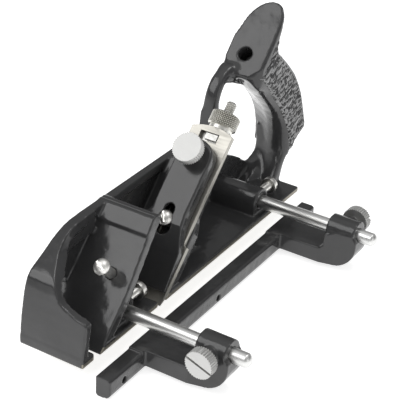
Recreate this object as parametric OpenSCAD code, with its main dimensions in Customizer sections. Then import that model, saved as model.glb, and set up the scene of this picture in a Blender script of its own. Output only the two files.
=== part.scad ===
// Duplex rebate and fillister plane: cast body with a bullnose seat and a main
// seat, T-shaped cutter with screw feed, lever cap, fence on two rods,
// depth stop and spur. The toe points to +X, the fence is on the +Y side and
// the sole lies on Z = 0 with the origin at its middle.

/* [Sole and side] */
// Length of the sole
sole_l = 213; // [205:1:230]
// Width of the sole
sole_w = 38; // [36:0.5:42]
// Thickness of the sole plate
sole_t = 3.4; // [3:0.1:4]
// Thickness of the toe plate in front of the bullnose mouth
toe_t = 5; // [4:0.5:6]
// Height of the side above the sole face
side_h = 51; // [49:0.5:56]
// Thickness of the side
side_t = 3.4; // [3:0.1:4]
// Width of the rim along the top of the side
rim_w = 5; // [4.5:0.1:6]
// Depth of that rim
rim_h = 5; // [3:0.5:8]

/* [Mouths and seats] */
// Pitch of both cutter seats
bed_angle = 45; // [45:0.5:46]
// Distance from the toe to the front of the bullnose mouth
nose_mouth_d = 9.4; // [9:0.1:10]
// Width of the bullnose mouth
nose_mouth_w = 4.8; // [4:0.1:5]
// Distance from the toe to the front of the main mouth
main_mouth_d = 64.8; // [62:0.2:68]
// Width of the main mouth
main_mouth_w = 7.1; // [6.8:0.1:9]
// Thickness of the bullnose seat
nose_bed_t = 6; // [5:0.5:7]
// Height of the raised pad at the top of the bullnose seat
pad_h = 1.2; // [0.6:0.1:2]
// Thickness of the main seat
main_bed_t = 7; // [6:0.5:8]
// Length of the full-width part of the main seat
main_bed_l = 48; // [44:1:52]
// Length of the whole main seat, up to its end face
bed_top_l = 86; // [84:0.5:88]

/* [Nose] */
// Thickness of the nose plate
nose_t = 4.6; // [4:0.2:6]
// Height of the full-width part of the nose plate
nose_full_h = 21.5; // [20:0.5:24]
// Width of the thick band inside the nose, from the side face
nose_band_w = 5.8; // [5.4:0.2:8]
// Height of that band below the top of the side
nose_band_h = 11.5; // [10:0.5:13]

/* [Handle] */
// Distance from the toe to the front of the handle strap
strap_d = 159; // [155:0.5:162]
// Width of the strap
strap_w = 9.2; // [8:0.2:11]
// Thickness of the strap
strap_t = 5.6; // [5:0.2:6.4]
// Width of the grip
grip_w = 25; // [22:0.5:28]
// Diameter of the hole in the horn
horn_hole_d = 8; // [6:0.5:9]
// Depth of the hole in the horn
horn_hole_l = 12; // [8:1:14]

/* [Cutter] */
// Thickness of the cutter
cutter_t = 3; // [2.6:0.1:3.2]
// Width of the cutting end
cutter_w = 37.8; // [36:0.2:38]
// Width of the upper part of the cutter
cutter_body_w = 24.8; // [24:0.2:26]
// How far the cutter reaches beyond the end of the main seat
cutter_over = 12.6; // [12.2:0.1:13.2]
// Length of the full-width cutting end
cutter_head_l = 33; // [31:0.5:34]
// How far the cutting edge stands below the sole
edge_drop = 0.35; // [0.1:0.05:0.5]
// Distance from the front of the main mouth to the cutting edge
edge_gap = 1.8; // [1.6:0.1:2.4]
// Angle of the ground bevel
bevel_angle = 25; // [22:1:30]
// Offset of the cutter's upper part from the middle of the sole
line_y = 4.1; // [3.5:0.1:4.5]

/* [Lever cap] */
// Height of the lever cap's face above the cutter
cap_h = 8; // [7:0.25:9]
// Thickness of the lever cap's walls
cap_wall = 2.6; // [2.2:0.1:3]
// Width of the upper part of the lever cap
cap_w = 20.4; // [19.4:0.2:21]
// Distance of the lever cap's lower end from the cutting edge
cap_low = 7; // [5.5:0.5:8]
// Distance of the lever cap's upper end from the cutting edge
cap_top = 88; // [87:0.5:89]
// Distance that the lever cap slides to free its keyhole
cap_travel = 4; // [3.5:0.25:5]
// Diameter of the lever cap thumbscrew
cap_knob_d = 16.2; // [15:0.1:17]
// Length of the lever cap thumbscrew's head
cap_knob_l = 4.8; // [4:0.2:6]
// Gap under the lever cap thumbscrew's head
cap_knob_gap = 6; // [4:0.5:7]
// Distance of the thumbscrew from the lever cap's upper end
cap_knob_in = 9; // [8.5:0.25:10]
// Radius of the lever cap's shoulders
cap_round = 1.2; // [0.8:0.1:1.6]

/* [Fulcrum screws] */
// Distance of the main fulcrum screw from the cutting edge
fulcrum_u = 42.5; // [41:0.5:46]
// Diameter of a fulcrum screw's head
fulcrum_head_d = 8.6; // [8:0.1:9]
// Diameter of a fulcrum screw's shank
fulcrum_d = 5.4; // [5:0.1:5.8]
// Distance of the bullnose fulcrum screw up its seat
nose_fulcrum_u = 38.9; // [36:0.5:42]
// How far the bullnose fulcrum screw's head stands off its seat
nose_fulcrum_h = 14.5; // [12:0.5:16]

/* [Adjuster] */
// Diameter of the adjuster stud
stud_d = 5.6; // [5.2:0.1:6]
// Reach of the stud beyond the end of the main seat
stud_over = 30; // [29:0.5:32]
// Depth of the stud's axis below the cutter's upper face
stud_off = 8; // [7.8:0.1:8.4]
// Diameter of the knurled nut
nut_d = 16; // [15:0.1:16.5]
// Length of the nut's knurl
nut_l = 8; // [7:0.25:8.5]
// Distance of the nut's knurl from the end of the main seat
nut_gap = 14.9; // [14.8:0.1:15.4]

/* [Fence rods] */
// Diameter of the fence rods
rod_d = 7.5; // [7:0.1:8]
// Height of the rods' axes above the sole face
rod_z = 10; // [10:0.1:11]
// Distance from the toe to the front rod
front_rod_d = 40.3; // [39.5:0.1:41]
// Distance between the rods
rod_gap = 134.2; // [130:0.2:136]
// Reach of the rods beyond the middle of the sole
rod_reach = 87.5; // [85:0.5:95]
// Diameter of the bosses round the rods in the body
boss_d = 15; // [14.2:0.1:15]
// Reach of these bosses beyond the middle of the sole
boss_y = 15.3; // [15:0.1:17]
// Distance of the lock screws beyond the middle of the sole
lock_y = 9.8; // [9:0.1:10.4]
// Distance from a rod's axis to its lock screw's outer face
lock_reach = 21; // [19:0.5:23]

/* [Fence] */
// Length of the fence bar
fence_l = 204.6; // [194:0.2:208]
// Height of the fence bar
fence_h = 11; // [10:0.25:12]
// Thickness of the fence bar
fence_t = 8.4; // [7.6:0.1:9]
// Distance from the middle of the sole to the fence's face
fence_y = 25.4; // [22:0.1:27]
// Depth of the fence bar's top below the sole face
fence_drop = 1.5; // [1.4:0.1:2]
// Height of the raised pads where the arms join the bar
arm_pad_h = 1; // [0.6:0.1:1.1]
// Width of the fence arms
arm_w = 18.8; // [17:0.2:20]
// Thickness of the fence arms
arm_t = 10.5; // [9:0.25:11]
// Distance from the middle of the sole to the fence's bosses
fence_boss_y = 60; // [58.5:0.5:62]
// Length of the fence's bosses
fence_boss_l = 16.5; // [15:0.5:18]
// Distance between the facing holes along the fence
facing_gap = 86.4; // [84:0.2:88]
// Diameter of the facing holes
facing_hole_d = 3.4; // [3:0.1:4]
// Diameter of the fence thumbscrews
fence_knob_d = 15; // [13:0.1:16]
// Distance from a rod's axis to its thumbscrew's outer face
fence_knob_reach = 17; // [16:0.25:18]
// Length of a fence thumbscrew's head
fence_knob_l = 5.4; // [4.5:0.1:6]

/* [Depth stop and spur] */
// Distance from the toe to the depth stop
stop_d = 118; // [112:0.5:124]
// Width of the depth stop
stop_w = 16; // [14:0.5:20]
// Thickness of the depth stop
stop_t = 2.6; // [2.2:0.1:3]
// Reach of the stop's foot to the side
stop_foot_w = 9; // [8:0.5:12]
// Height of the depth stop above its foot
stop_h = 34; // [32:0.5:37]
// Height of the stop's foot above the sole face
stop_foot_z = 8; // [6.5:0.5:9]
// Distance from the toe to the spur
spur_d = 54; // [51:0.5:55]
// Radius of the spur's blades
spur_r = 8.4; // [8:0.1:8.8]
// Thickness of the spur
spur_t = 1.4; // [1.2:0.1:1.6]

/* [Hidden] */

// Running clearance round a shaft, and the gap between flat sliding faces
run_gap = 0.06;
flat_gap = 0.05;
// Gap at the end of a shaft or beside a loose piece
end_gap = 0.3;
// Excess of a cut beyond the faces that it passes
over = 1;
fine = 48;

// Screws: threads, heads and how deep they are seated
cap_screw_d = 6;
fence_screw_d = 5;
lock_d = 5;
lock_head_d = 8.8;
lock_head_l = 3;
stop_screw_d = 5;
stop_knob_d = 13;
stop_knob_l = 6;
stop_neck_d = 9;
stop_neck_l = 2.5;
spur_screw_d = 4;
spur_screw_seat = 3.2;
fulcrum_head_h = 3.2;
stud_seat = 16;
stud_boss_d = 14;
stud_boss_l = 24;
nut_bore_l = 30;
// Collar, groove and flange of the nut, measured back from its knurl
nut_collar_l = 1.7;
nut_groove_l = 2.1;
nut_flange_l = 1.8;
nut_neck = 0.4;
groove_d = 7.8;
// Length of the lever cap's slot above the fulcrum screw
keyhole_over = 5.4;
// Windows through the side for the cutter at the main mouth and at the bullnose
window_u = cutter_head_l + 7;
window_h = 16;
nose_window_u = 27;
// Length of the lever cap's sloping lower part
cap_bend = 34;
// Places: fulcrum screws and lever cap across the sole, facing holes, stop and spur
cap_y = line_y + 0.2;
cap_knob_u = cap_top - cap_knob_in;
cutter_l = bed_top_l + cutter_over;
nut_u = bed_top_l + nut_gap;
stud_end_u = bed_top_l + stud_over;
// Lug of the adjuster and its window in the cutter: length, width, place across
lug = [3.4, 7.4];
lug_y = 0.9;
lug_window = [5.1, 11];
lug_window_y = -2.1;
lug_window_u = cutter_l - 3.8;
// Feet beside the depth stop, and the slot for its screw
stop_foot_side = 6;
stop_slot_low = 10.3;
stop_slot_high = 5;
nose_fulcrum_y = 5.2;
facing_z = -7.6;
facing_d = 13.7;
stop_screw_z = 28;
spur_z = 7.6;
washer_t = 1.2;
// How far the fence bar's middle lies in front of the middle between the rods
fence_shift = 3.6;
// Horn: lean of its face, its hole and the slant of the grip's inner face
horn_lean = 46.7;
horn_hole_at = [27, 90.2];
horn_hole_y = -8;
grip_slant = 23;

half_w = sole_w / 2;
washer_y = -half_w - stop_t - 3 * flat_gap;
rear_rod_d = front_rod_d + rod_gap;
mouth_back_d = main_mouth_d + main_mouth_w;
edge_d = main_mouth_d + edge_gap;
enamel = [0.10, 0.10, 0.105];
steel = [0.78, 0.77, 0.72];
nickel = [0.82, 0.82, 0.80];

// X of a point that lies d behind the toe
function fx(d) = sole_l / 2 - d;
// Points along an arc in the plane of drawing
function arc(cx, cy, r, a0, a1, n) =
    [for (i = [0:n]) let (a = a0 + (a1 - a0) * i / n) [cx + r * cos(a), cy + r * sin(a)]];
// A point of the side view, u up the bullnose seat and w off it
function nose_pt(u, w) = [-nose_foot_d - u * cos(bed_angle) + w * sin(bed_angle),
    u * sin(bed_angle) + w * cos(bed_angle)];
// A point of the side view, u up the main seat and w off the seat's face
function main_pt(u, w) = [-edge_d - u * cos(bed_angle) + (w - cutter_t) * sin(bed_angle),
    -edge_drop + u * sin(bed_angle) + (w - cutter_t) * cos(bed_angle)];

// Distance up the main seat's face to a height above the sole, and to a distance
// behind the toe
function seat_rise(z) = (z + edge_drop + cutter_t * cos(bed_angle)) / sin(bed_angle);
function seat_reach(d) = (d - edge_d - cutter_t * sin(bed_angle)) / cos(bed_angle);

// Draws a side view, with the toe at x = 0, and gives it the width from y0 to y1
module side_view(y0, y1) {
    translate([fx(0), y1, 0]) rotate([90, 0, 0]) linear_extrude(y1 - y0) children();
}
// Frame of the main seat: x runs down the seat from the cutting edge's line,
// y across, z off the seat's face
module on_main() {
    translate([fx(edge_d), 0, -edge_drop]) rotate([0, bed_angle, 0])
        translate([0, 0, -cutter_t]) children();
}
// Frame of the bullnose seat, in the same way
module on_nose() {
    translate([fx(nose_foot_d), 0, 0]) rotate([0, bed_angle, 0]) children();
}
// Round bar along Y
module bar_y(d, y0, y1) {
    translate([0, y1, 0]) rotate([90, 0, 0]) cylinder(d = d, h = y1 - y0, $fn = fine);
}
// Round bar along X
module bar_x(d, x0, x1) {
    translate([x0, 0, 0]) rotate([0, 90, 0]) cylinder(d = d, h = x1 - x0, $fn = fine);
}
// Straight slot of a given width between two points
module slot(a, b, w) {
    hull() {
        translate(a) circle(d = w, $fn = 32);
        translate(b) circle(d = w, $fn = 32);
    }
}
// Straight-knurled disc on z = 0, with its grooves cut round the rim
module knurled_disc(d, h, n, depth) {
    difference() {
        cylinder(d = d, h = h, $fn = fine);
        for (i = [0:n - 1]) rotate(360 * i / n) translate([d / 2, 0, -over])
            rotate(45) translate([-depth / 2, -depth / 2, 0]) cube([depth, depth, h + 2 * over]);
    }
}

// Foot of the bullnose seat's face on the sole
nose_foot_d = nose_mouth_d + nose_mouth_w;
// Outline of the nose seen from the side: distance behind the toe, and share of the
// side's height
nose_curve = [[0, 0], [0.5, 0.16], [1.3, 0.3], [2.5, 0.43], [3.6, 0.54], [4.8, 0.62],
    [6.4, 0.69], [8.8, 0.74], [11.6, 0.77], [14.5, 0.795], [17.6, 0.825], [20.8, 0.858],
    [25.5, 0.908], [30.3, 0.949], [35.1, 0.978], [40, 0.994], [46, 1]];
nose_line = [for (p = nose_curve) [-p[0], p[1] * side_h]];
// Left edge of the nose plate: share of the sole's width inwards, and share of the
// height above its full-width part
nose_edge = [[0, 0], [0.012, 0.05], [0.042, 0.078], [0.184, 0.108], [0.305, 0.163],
    [0.4, 0.213], [0.46, 0.28], [0.508, 0.369], [0.574, 0.488], [0.65, 0.58], [0.718, 0.654],
    [0.785, 0.735], [0.829, 0.844], [0.847, 0.919], [0.853, 1.1]];

// Direction of a line of points at one of them, and the line moved inwards
function along(p, i) = let (v = p[min(i + 1, len(p) - 1)] - p[max(i - 1, 0)]) v / norm(v);
function inset_line(p, t) = [for (i = [0:len(p) - 1]) let (v = along(p, i))
    [p[i][0] - t * v[1], max(0, p[i][1] + t * v[0])]];
function reversed(p) = [for (i = [len(p) - 1:-1:0]) p[i]];

// Rear edge of the side, from the strap down to the heel of the sole
loop_low = [[-strap_d - strap_t, side_h - 1], [-strap_d - 7.5, side_h - 8],
    [-strap_d - 10.5, side_h - 15], [-strap_d - 16, 30.5], [-strap_d - 24, 26.5],
    [-strap_d - 34, 21.5], [-strap_d - 44, 15.5], [-sole_l + 3, 10.5], [-sole_l, 8], [-sole_l, 0]];

module side_outline() {
    polygon(concat(nose_line, loop_low));
}

// Nose plate seen from the front, drawn across (x) and up (y)
module nose_front() {
    polygon(concat([[-half_w - over, -over], [half_w, -over]],
        [for (p = nose_edge) [half_w - p[0] * sole_w,
            nose_full_h + p[1] * (side_h - nose_full_h)]],
        [[-half_w - over, side_h + over]]));
}

// Front strap of the handle, seen from the side
function strap_line(inset) = concat(
    [[-strap_d - inset, side_h - 6]],
    [for (i = [0:6]) let (t = i / 6) [-strap_d - inset - 1.6 * t * t, side_h + 14 * t]],
    arc(-strap_d - 23.5, side_h + 12.5, 22 - inset, 14, 82, 12));

module strap() {
    side_view(-half_w, -half_w + strap_w) polygon(concat(strap_line(0),
        reversed(strap_line(strap_t))));
    // Web under the arch, down to the grip
    side_view(-half_w, -half_w + strap_w) translate([-strap_d, side_h]) polygon([[-8, 25.6],
        [-13, 24.6], [-21.3, 22.7], [-30.8, 19.2], [-39, 15.5], [-47.6, 10.2], [-53, 9],
        [-53, 24], [-36, 35], [-19, 33], [-9, 28.5]]);
}

// Handle seen from the side, from the heel of the sole: inner edge going up, then
// the front of the horn, its back and the back of the grip going down
grip_x = -sole_l;
grip_near = -half_w + grip_w;
inner_edge = [[11, 2], [6.5, 8], [2.5, 13.3], [-0.6, 18.2], [-1.4, 23], [-0.7, 30.6],
    [0.9, 36.6], [3.1, 41.9], [7, 48.4], [11.7, 53.9], [21.8, 64.1], [30.5, 71.6], [34.5, 75.5]];
horn_edge = [[37, 79.6], [4.2, 114.4], [2.2, 114.8], [3.8, 112.6], [9, 104.6], [12.4, 98],
    [13.8, 93.4], [12.4, 89], [8, 85.6]];
back_edge = [[-2.1, 76.4], [-9.4, 69], [-15.3, 60.6], [-19.4, 53.6], [-22.7, 45.5], [-25.8, 37],
    [-28.2, 30], [-27.6, 27], [-18.7, 23.3], [-10.4, 18.4], [-5.4, 12], [-1, 4], [0.5, 0.6]];

// Foot of the grip, where it swells out from the side
grip_foot = [[-8.1, 31], [-8.1, 28.7], [-7.7, 21], [-6.2, 14.9], [-4.1, 10.7], [-0.4, 8.9],
    [8, 7], [8, 3], [-1, 3], [-7, 8], [-13, 16], [-18, 24], [-18, 31]];

// End of the horn: distance up its face, and distance from the grip's near face
horn_end = [[26, 0], [34, 0.3], [39.8, 1.2], [42.6, 2.2], [45.6, 4.1], [46.9, 5.7],
    [47.5, 7.8], [47.6, 10.5], [47, 12.8], [45.6, 15.4], [43.6, 17.7], [41, 19.7],
    [38, 21.2], [35.1, 22.2], [31.8, 23], [28.5, 23.8], [24, 24.8]];

module grip_outline(inset) {
    translate([grip_x, 0]) offset(delta = -inset) polygon(concat(inner_edge, horn_edge, back_edge));
}

// Frame of the horn's front face: x runs up the horn from its lower end, z into it
module on_horn() {
    translate([fx(0) + grip_x + horn_edge[0][0], 0, horn_edge[0][1]])
        rotate([0, 180 + horn_lean, 0]) children();
}

module grip_solid() {
    difference() {
        intersection() {
            union() {
                side_view(-half_w, grip_near - 1.2) grip_outline(0);
                side_view(-half_w, grip_near - 0.4) grip_outline(0.4);
                side_view(-half_w, grip_near) grip_outline(1);
            }
            // Rounded end of the horn
            on_horn() translate([0, 0, -20]) linear_extrude(160) polygon(concat(
                [[-160, -half_w - over], [-160, grip_near + over], [22, grip_near + over]],
                [for (p = horn_end) [p[0], grip_near - p[1]]], [[12, -half_w - over]]));
        }
        // Lower corner of the horn on the grip's side
        on_horn() translate([7, grip_near - 2, 0]) rotate([0, 128, 125])
            translate([-15, -15, 0]) cube([30, 30, 20]);
        // Slanted inner face of the grip, set back on its far side
        translate([fx(0) + grip_x, grip_near, 0]) rotate([0, 0, -grip_slant]) rotate([90, 0, 0])
            translate([0, 0, -10]) linear_extrude(60) scale([cos(grip_slant), 1]) polygon(concat(
                inner_edge, [[50, 90], [60, 40], [40, -8], [13, -8]]));
    }
    // Foot of the grip beside the wall
    side_view(-half_w + 3, -half_w + 10) translate([-sole_l, 0]) polygon(grip_foot);
}

// Boss round a fence rod, on its block over the sole
module rod_boss(d) {
    translate([fx(d), 0, rod_z]) bar_y(boss_d, -half_w + side_t / 2, boss_y);
    translate([fx(d) - boss_d / 2, -half_w + side_t / 2, sole_t / 2])
        cube([boss_d, half_w - side_t / 2 + boss_y, rod_z - sole_t / 2]);
}

// Sole in its three stretches
module sole() {
    side_view(-half_w, half_w) {
        polygon([[0, 0], [0, toe_t], [-nose_mouth_d + 1.2, toe_t], [-nose_mouth_d, toe_t - 1.2],
            [-nose_mouth_d, 0]]);
        polygon([nose_pt(0, 0), [-main_mouth_d, 0], [-main_mouth_d, sole_t],
            nose_pt(sole_t / sin(bed_angle), 0)]);
        polygon([[-sole_l, 0], [-sole_l, sole_t], main_pt(seat_rise(sole_t), 0),
            main_pt(seat_reach(mouth_back_d), 0), [-mouth_back_d, 0]]);
    }
}

// Side, with its top rim, the thick band of the nose and the low rear stretch
module side() {
    side_view(-half_w, -half_w + side_t) side_outline();
    side_view(-half_w, -half_w + rim_w) polygon([[-50, side_h], [-strap_d - strap_t, side_h],
        [-strap_d - strap_t, side_h - rim_h], [-50, side_h - rim_h]]);
    side_view(-half_w, -half_w + nose_band_w) polygon(concat(
        [for (p = nose_line) if (p[1] > side_h / 2) p],
        [[-54, side_h], [-54, side_h - nose_band_h], [-35, side_h - nose_band_h - 1.5],
        [-20, side_h - nose_band_h - 7], [-12, side_h - nose_band_h - 14],
        [-7, side_h / 2]]));
    side_view(-half_w, -half_w + side_t + 1.6) polygon(concat([[-strap_d + 4, 0],
        [-strap_d + 4, 34], [-strap_d - 14, 31]], [for (i = [4:9]) loop_low[i]]));
}

// Nose plate, cut along its left edge
module nose() {
    intersection() {
        side_view(-half_w, half_w) polygon(concat(nose_line,
            reversed(inset_line(nose_line, nose_t))));
        translate([fx(60), 0, 0]) rotate([90, 0, 90]) linear_extrude(70) nose_front();
    }
}

// Bullnose seat with its raised pad, its end tapering at the top
module bullnose_seat() {
    intersection() {
        side_view(-half_w, half_w) union() {
            polygon([nose_pt(0, 0), nose_pt(72, 0), nose_pt(75, -2), nose_pt(75, -nose_bed_t),
                nose_pt(nose_bed_t, -nose_bed_t)]);
            polygon([nose_pt(62, -1), nose_pt(62, pad_h), nose_pt(71.5, pad_h),
                nose_pt(73, pad_h - 1.2), nose_pt(73, -1)]);
        }
        on_nose() translate([0, 0, -12]) linear_extrude(20) polygon([[12, -half_w],
            [12, half_w - 0.6], [-30, half_w - 0.6], [-60, half_w - 3], [-76, half_w - 4.2],
            [-76, -half_w]]);
        translate([fx(80), -half_w, 0]) cube([80, sole_w, side_h + 0.8]);
    }
}

// Main seat: full width below, narrow above, with the boss of the stud
module main_seat() {
    intersection() {
        side_view(-half_w, half_w) polygon([main_pt(0, 0), main_pt(bed_top_l, 0),
            main_pt(bed_top_l, -main_bed_t), main_pt(-2, -main_bed_t)]);
        on_main() translate([0, 0, -12]) linear_extrude(14) polygon([[10, -half_w],
            [10, half_w - 0.8], [-main_bed_l + 6, half_w - 1.6], [-main_bed_l, half_w - 3.4],
            [-main_bed_l - 3, half_w - 4.6], [-bed_top_l + 2, line_y + 9],
            [-bed_top_l, line_y + 7], [-bed_top_l, line_y - 7], [-bed_top_l + 4, line_y - 10],
            [-72, -half_w]]);
        translate([fx(strap_d), -half_w, 0]) cube([strap_d - mouth_back_d, sole_w, side_h + 30]);
    }
    intersection() {
        on_main() translate([-bed_top_l, line_y, cutter_t - stud_off])
            rotate([0, 90, 0]) cylinder(d = stud_boss_d, h = stud_boss_l, $fn = fine);
        on_main() translate([-bed_top_l, -half_w, -20]) cube([bed_top_l, sole_w, 20]);
    }
}

// Ribs that carry the main seat
module seat_ribs() {
    side_view(line_y - 2.5, line_y + 2.5) polygon([[-edge_d - 9, sole_t / 2], main_pt(14, -4),
        main_pt(60, -4), main_pt(56, -main_bed_t - 3), [-edge_d - 46, 8],
        [-edge_d - 60, sole_t / 2]]);
}

// Block that ties the front boss to the back of the bullnose seat
module front_block() {
    side_view(-half_w, boss_y) polygon([[-front_rod_d - boss_d / 2, 0],
        [-front_rod_d - boss_d / 2, rod_z], nose_pt(32, -nose_bed_t / 2),
        nose_pt(10, -nose_bed_t / 2), [-front_rod_d + boss_d / 2, 0]]);
}

// Everything that is drilled or cut in the body
module body_cuts() {
    for (d = [front_rod_d, rear_rod_d]) {
        translate([fx(d), 0, rod_z]) bar_y(rod_d + 2 * run_gap, -half_w - over, half_w);
        translate([fx(d), lock_y, rod_z]) bar_x(lock_d + 2 * run_gap, -boss_d, 0);
    }
    // Seats of the fulcrum screws, the adjuster stud, the depth stop's screw and the spur
    on_main() translate([-fulcrum_u, cap_y, -main_bed_t - 4])
        cylinder(d = fulcrum_d + 2 * run_gap, h = main_bed_t + 5, $fn = fine);
    on_nose() translate([-nose_fulcrum_u, nose_fulcrum_y, -nose_bed_t - over])
        cylinder(d = fulcrum_d + 2 * run_gap, h = nose_bed_t + 2 * over, $fn = fine);
    on_main() translate([-bed_top_l - over, line_y, cutter_t - stud_off])
        rotate([0, 90, 0]) cylinder(d = stud_d + 2 * run_gap, h = stud_seat + over, $fn = fine);
    translate([fx(stop_d), 0, stop_screw_z]) bar_y(stop_screw_d + 2 * run_gap, -half_w - over,
        -half_w + side_t + over);
    translate([fx(spur_d), 0, spur_z]) bar_y(2 * (spur_r + end_gap), -half_w - over,
        -half_w + spur_t + flat_gap);
    translate([fx(spur_d), 0, spur_z]) bar_y(spur_screw_d + 2 * run_gap, -half_w, -half_w + 8);
    // Windows through the side
    side_view(-half_w - over, -half_w + side_t + 0.6) {
        polygon([main_pt(-2, 0), main_pt(window_u, 0), main_pt(window_u + 4, 4),
            main_pt(window_u + 2, window_h - 3), main_pt(window_u - 4, window_h),
            main_pt(18, window_h), main_pt(14, window_h - 3), [-main_mouth_d, sole_t + 2],
            [-main_mouth_d, -over]]);
        polygon([nose_pt(-4, 0), nose_pt(nose_window_u, 0), nose_pt(nose_window_u + 2, 3),
            nose_pt(nose_window_u - 3, 8), nose_pt(6, 8), [-nose_mouth_d, -over]]);
    }
    // Hole in the horn
    translate([fx(0) + grip_x + horn_hole_at[0], horn_hole_y, horn_hole_at[1]])
        rotate([0, horn_lean, 0]) translate([0, 0, -horn_hole_l])
        cylinder(d = horn_hole_d, h = horn_hole_l + 6, $fn = fine);
}

module body_casting() {
    color(enamel) difference() {
        union() {
            grip_solid();
            sole();
            side();
            strap();
            nose();
            bullnose_seat();
            main_seat();
            seat_ribs();
            rod_boss(front_rod_d);
            rod_boss(rear_rod_d);
            front_block();
        }
        body_cuts();
    }
}

module cutter() {
    shoulder = 5;
    low = line_y - cutter_body_w / 2;
    high = line_y + cutter_body_w / 2;
    top_r = 30;
    top_a = asin(cutter_body_w / 2 / top_r);
    color(steel) on_main() translate([0, 0, flat_gap]) difference() {
        linear_extrude(cutter_t - flat_gap) difference() {
            polygon(concat([[0, -cutter_w / 2], [0, cutter_w / 2]],
                arc(-cutter_head_l - cutter_w / 2 + high, cutter_w / 2,
                    cutter_w / 2 - high, 0, -90, 5),
                arc(-cutter_l + top_r, line_y, top_r, 180 - top_a, 180 + top_a, 8),
                arc(-cutter_head_l - shoulder, low - shoulder, shoulder, 90, 0, 6),
                [[-cutter_head_l, -cutter_w / 2]]));
            // Window for the adjuster's lug
            translate([-lug_window_u, lug_window_y]) square(lug_window);
            // Slot round the fulcrum screw
            slot([-fulcrum_u - 9, cap_y], [-fulcrum_u + 8, cap_y], fulcrum_d + 2);
        }
        // Ground bevel on the lower face
        translate([0, -cutter_w / 2 - over, cutter_t - flat_gap]) rotate([0, -bevel_angle, 0])
            translate([-40, 0, -40]) cube([80, cutter_w + 2 * over, 40]);
    }
}

// Outline of the lever cap, seen at right angles to the cutter
module cap_outline() {
    wide = cutter_w / 2 - 0.4;
    side = cap_w / 2;
    polygon(concat([[-cap_low, -wide], [-cap_low, wide], [-cap_low - 21, wide],
        [-cap_low - 24, cap_y + side + 3.2], [-cap_low - 28, cap_y + side + 1.9],
        [-cap_low - 33, cap_y + side + 0.7], [-cap_low - 39, cap_y + side]],
        arc(-cap_top + side, cap_y, side, 90, 270, 12),
        [[-cap_low - 39, cap_y - side], [-cap_low - 21, -wide]]));
}

module lever_cap() {
    body_h = cap_h - flat_gap;
    hollow_w = cap_w / 2 - cap_wall;
    color(enamel) on_main() translate([0, 0, cutter_t + flat_gap]) difference() {
        intersection() {
            // Shoulders rounded in steps
            union() for (a = [15, 40, 65, 90])
                linear_extrude(body_h - cap_round * (1 - sin(a)))
                    offset(delta = -cap_round * (1 - cos(a))) cap_outline();
            translate([0, sole_w, 0]) rotate([90, 0, 0]) linear_extrude(2 * sole_w) polygon([
                [-cap_low, 0], [-cap_low, 1.6], [-cap_low - 19, 4.4], [-cap_low - cap_bend, body_h],
                [-cap_top - over, body_h + over], [-cap_top - over, 0]]);
        }
        // Hollow underside
        translate([0, 0, -over]) linear_extrude(body_h - cap_wall + over) polygon(concat(
            [[-cap_low - cap_bend - 2, cap_y - hollow_w], [-cap_low - cap_bend - 2, cap_y + hollow_w]],
            arc(-cap_top + cap_w / 2, cap_y, hollow_w, 90, 270, 10)));
        // Keyhole for the fulcrum screw: the slot above, the round end below
        translate([0, 0, -over]) linear_extrude(cap_h + 2 * over)
            slot([-fulcrum_u - keyhole_over, cap_y], [-fulcrum_u + cap_travel, cap_y],
                fulcrum_d + 0.5);
        translate([-fulcrum_u + cap_travel, cap_y, -over])
            cylinder(d = fulcrum_head_d + 0.6, h = cap_h + 2 * over, $fn = fine);
        // Thread of the thumbscrew
        translate([-cap_knob_u, line_y, -over])
            cylinder(d = cap_screw_d + 2 * run_gap, h = cap_h + 2 * over, $fn = fine);
    }
}

module lever_cap_thumbscrew() {
    color(nickel) on_main() translate([-cap_knob_u, line_y, cutter_t]) {
        translate([0, 0, end_gap]) cylinder(d = cap_screw_d, h = cap_h + cap_knob_gap, $fn = fine);
        translate([0, 0, cap_h + cap_knob_gap]) knurled_disc(cap_knob_d, cap_knob_l, 40, 0.6);
    }
}

// Round-headed screw with a screwdriver slot, its head's underside at z = 0
module round_screw(head_d, head_h, shank_d, shank_l) {
    r = (pow(head_d / 2, 2) + head_h * head_h) / (2 * head_h);
    difference() {
        intersection() {
            translate([0, 0, head_h - r]) sphere(r = r, $fn = fine);
            cylinder(d = head_d, h = head_h, $fn = fine);
        }
        translate([-head_d, -0.6, head_h - 1.2]) cube([2 * head_d, 1.2, 2]);
    }
    translate([0, 0, -shank_l]) cylinder(d = shank_d, h = shank_l + 0.2, $fn = fine);
}
module main_fulcrum_screw() {
    color(nickel) on_main() translate([-fulcrum_u, cap_y, cutter_t + cap_h + flat_gap])
        rotate(30) round_screw(fulcrum_head_d, fulcrum_head_h, fulcrum_d,
            cap_h + cutter_t + main_bed_t - 1);
}
module bullnose_fulcrum_screw() {
    color(nickel) on_nose()
        translate([-nose_fulcrum_u, nose_fulcrum_y, nose_fulcrum_h - fulcrum_head_h])
            rotate(60) round_screw(fulcrum_head_d, fulcrum_head_h, fulcrum_d,
                nose_fulcrum_h + nose_bed_t - fulcrum_head_h - 1);
}

module adjuster_stud() {
    l = stud_end_u - bed_top_l + stud_seat - end_gap;
    color(nickel) on_main() translate([-stud_end_u, line_y, cutter_t - stud_off]) rotate([0, 90, 0]) {
        translate([0, 0, 0.7]) cylinder(d = stud_d, h = l - 0.7, $fn = fine);
        cylinder(d1 = stud_d - 1.4, d2 = stud_d, h = 0.7, $fn = fine);
    }
}

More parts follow.
